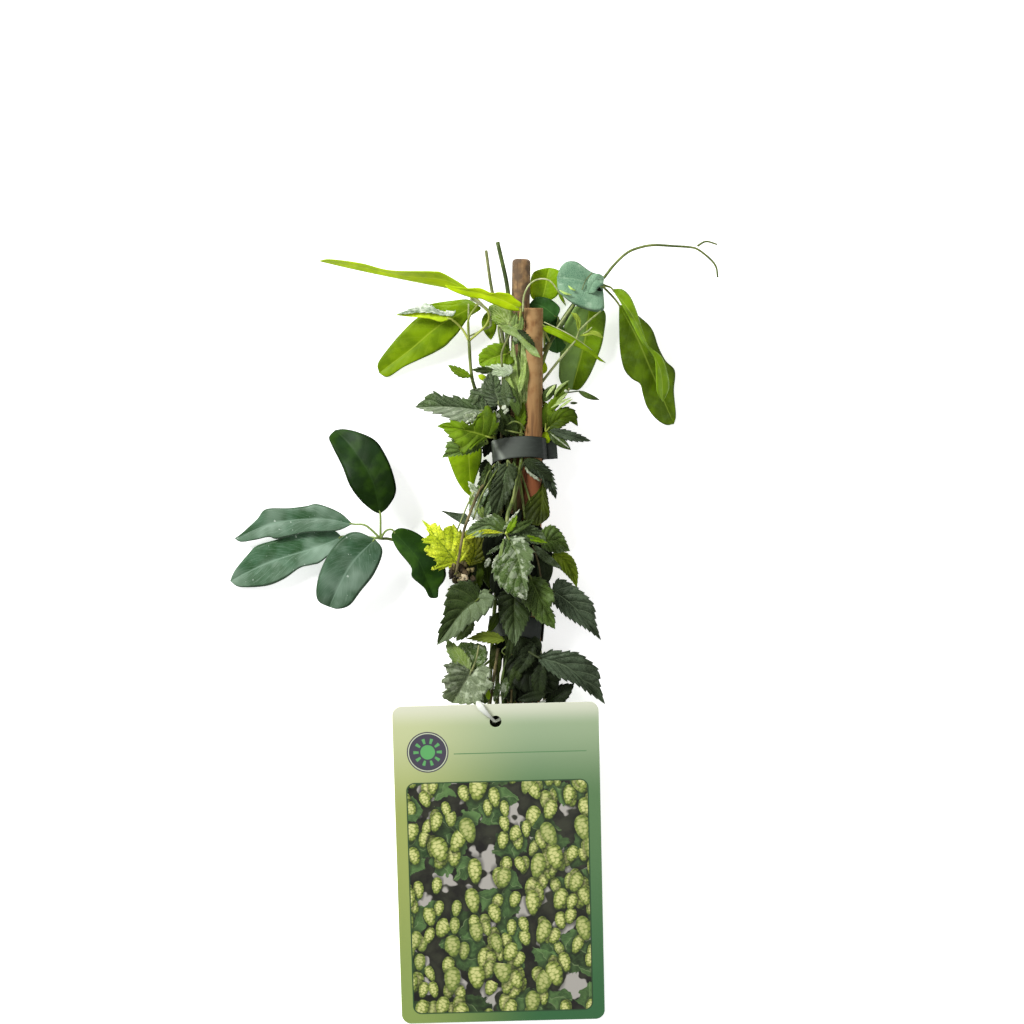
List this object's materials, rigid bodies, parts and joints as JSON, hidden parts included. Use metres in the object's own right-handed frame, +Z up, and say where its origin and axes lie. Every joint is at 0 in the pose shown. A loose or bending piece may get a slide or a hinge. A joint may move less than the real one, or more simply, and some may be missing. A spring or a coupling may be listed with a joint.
{
  "type": "hop bine",
  "caption": "Cut hop bine of leafy twining stems tied to slim canes with dark tape, with a hanging plastic label, lying flat.",
  "frame": {"origin": "middle of the plant's outline seen from above, on the surface it lies on", "axes": "+Y along the canes from the cut lower ends and the label to the shoot tips, +X to the right seen from above, +Z up from the surface"},
  "size_m": [0.21, 0.3351, 0.0348],
  "materials": {
    "blue": "blue green textured leaf",
    "bluegreen": "fresh dark blue green leaf",
    "cane_wood": "dry split cane, orange brown with grey weathering",
    "dark": "fresh dark green leaf",
    "glossy": "very dark green leaf, glossy",
    "grey": "grey green leaf, matt",
    "label": "printed plastic label in greens, semi gloss",
    "label_cord": "whitish translucent cord",
    "leaf": "fresh mid green leaf",
    "lime": "fresh lime green leaf, smooth",
    "mid": "fresh bright green leaf",
    "pale": "pale mottled leaf",
    "stem_brown": "dried stem, matt brown",
    "stem_green": "fresh green stem, satin",
    "tape": "dark grey plastic tie tape, satin",
    "yellow": "yellow green variegated leaf"
  },
  "bodies": {
    "root": {"bine_1": "stem_green", "bine_2": "stem_green", "bine_3": "stem_green", "bine_4": "stem_green", "bine_5": "stem_green", "blue_leaf_right": "blue", "bright_leaf_tie": "mid", "cane_back": "cane_wood", "cane_front": "cane_wood", "centre_leaf_low": "leaf", "dark_leaf_low": "dark", "dark_leaf_low_right": "bluegreen", "dark_leaf_right": "bluegreen", "dark_leaf_tie": "dark", "dark_leaf_upper_right": "dark", "dead_stem": "stem_brown", "folded_leaf_right": "pale", "folded_leaf_top": "pale", "grey_leaf_left": "grey", "grey_leaf_upper": "grey", "hanging_leaf_right": "leaf", "hop_leaf_left": "leaf", "hop_leaf_right": "mid", "lance_leaf_front": "lime", "lance_leaf_long": "lime", "leaf_left_low": "leaf", "lime_leaf_right": "lime", "lime_leaf_tie": "lime", "long_leaf_right": "lime", "lower_tie": "tape", "mid_leaf_front": "leaf", "mid_leaf_right": "leaf", "mottled_leaf": "pale", "neck_leaf_green": "leaf", "neck_leaf_right": "dark", "olive_leaf_right": "dark", "oval_leaf_left": "lime", "pale_leaf_left": "pale", "pale_leaf_low": "grey", "round_leaf_top": "mid", "serrate_leaf_top": "mid", "side_shoot": "stem_green", "small_leaf_left": "mid", "tag": "label", "tag_loop": "label_cord", "tendril": "stem_green", "tendril_tip": "stem_green", "twisted_leaf_right": "lime", "upper_tie": "tape", "whorl_leaf_left": "mid", "whorl_leaf_right": "mid", "whorl_leaflet_1": "glossy", "whorl_leaflet_2": "glossy", "whorl_leaflet_3": "glossy", "whorl_leaflet_4": "glossy", "whorl_leaflet_5": "glossy", "whorl_stalk": "stem_green", "wilted_leaf": "dark", "yellow_leaf": "yellow"}
  },
  "joints": []
}
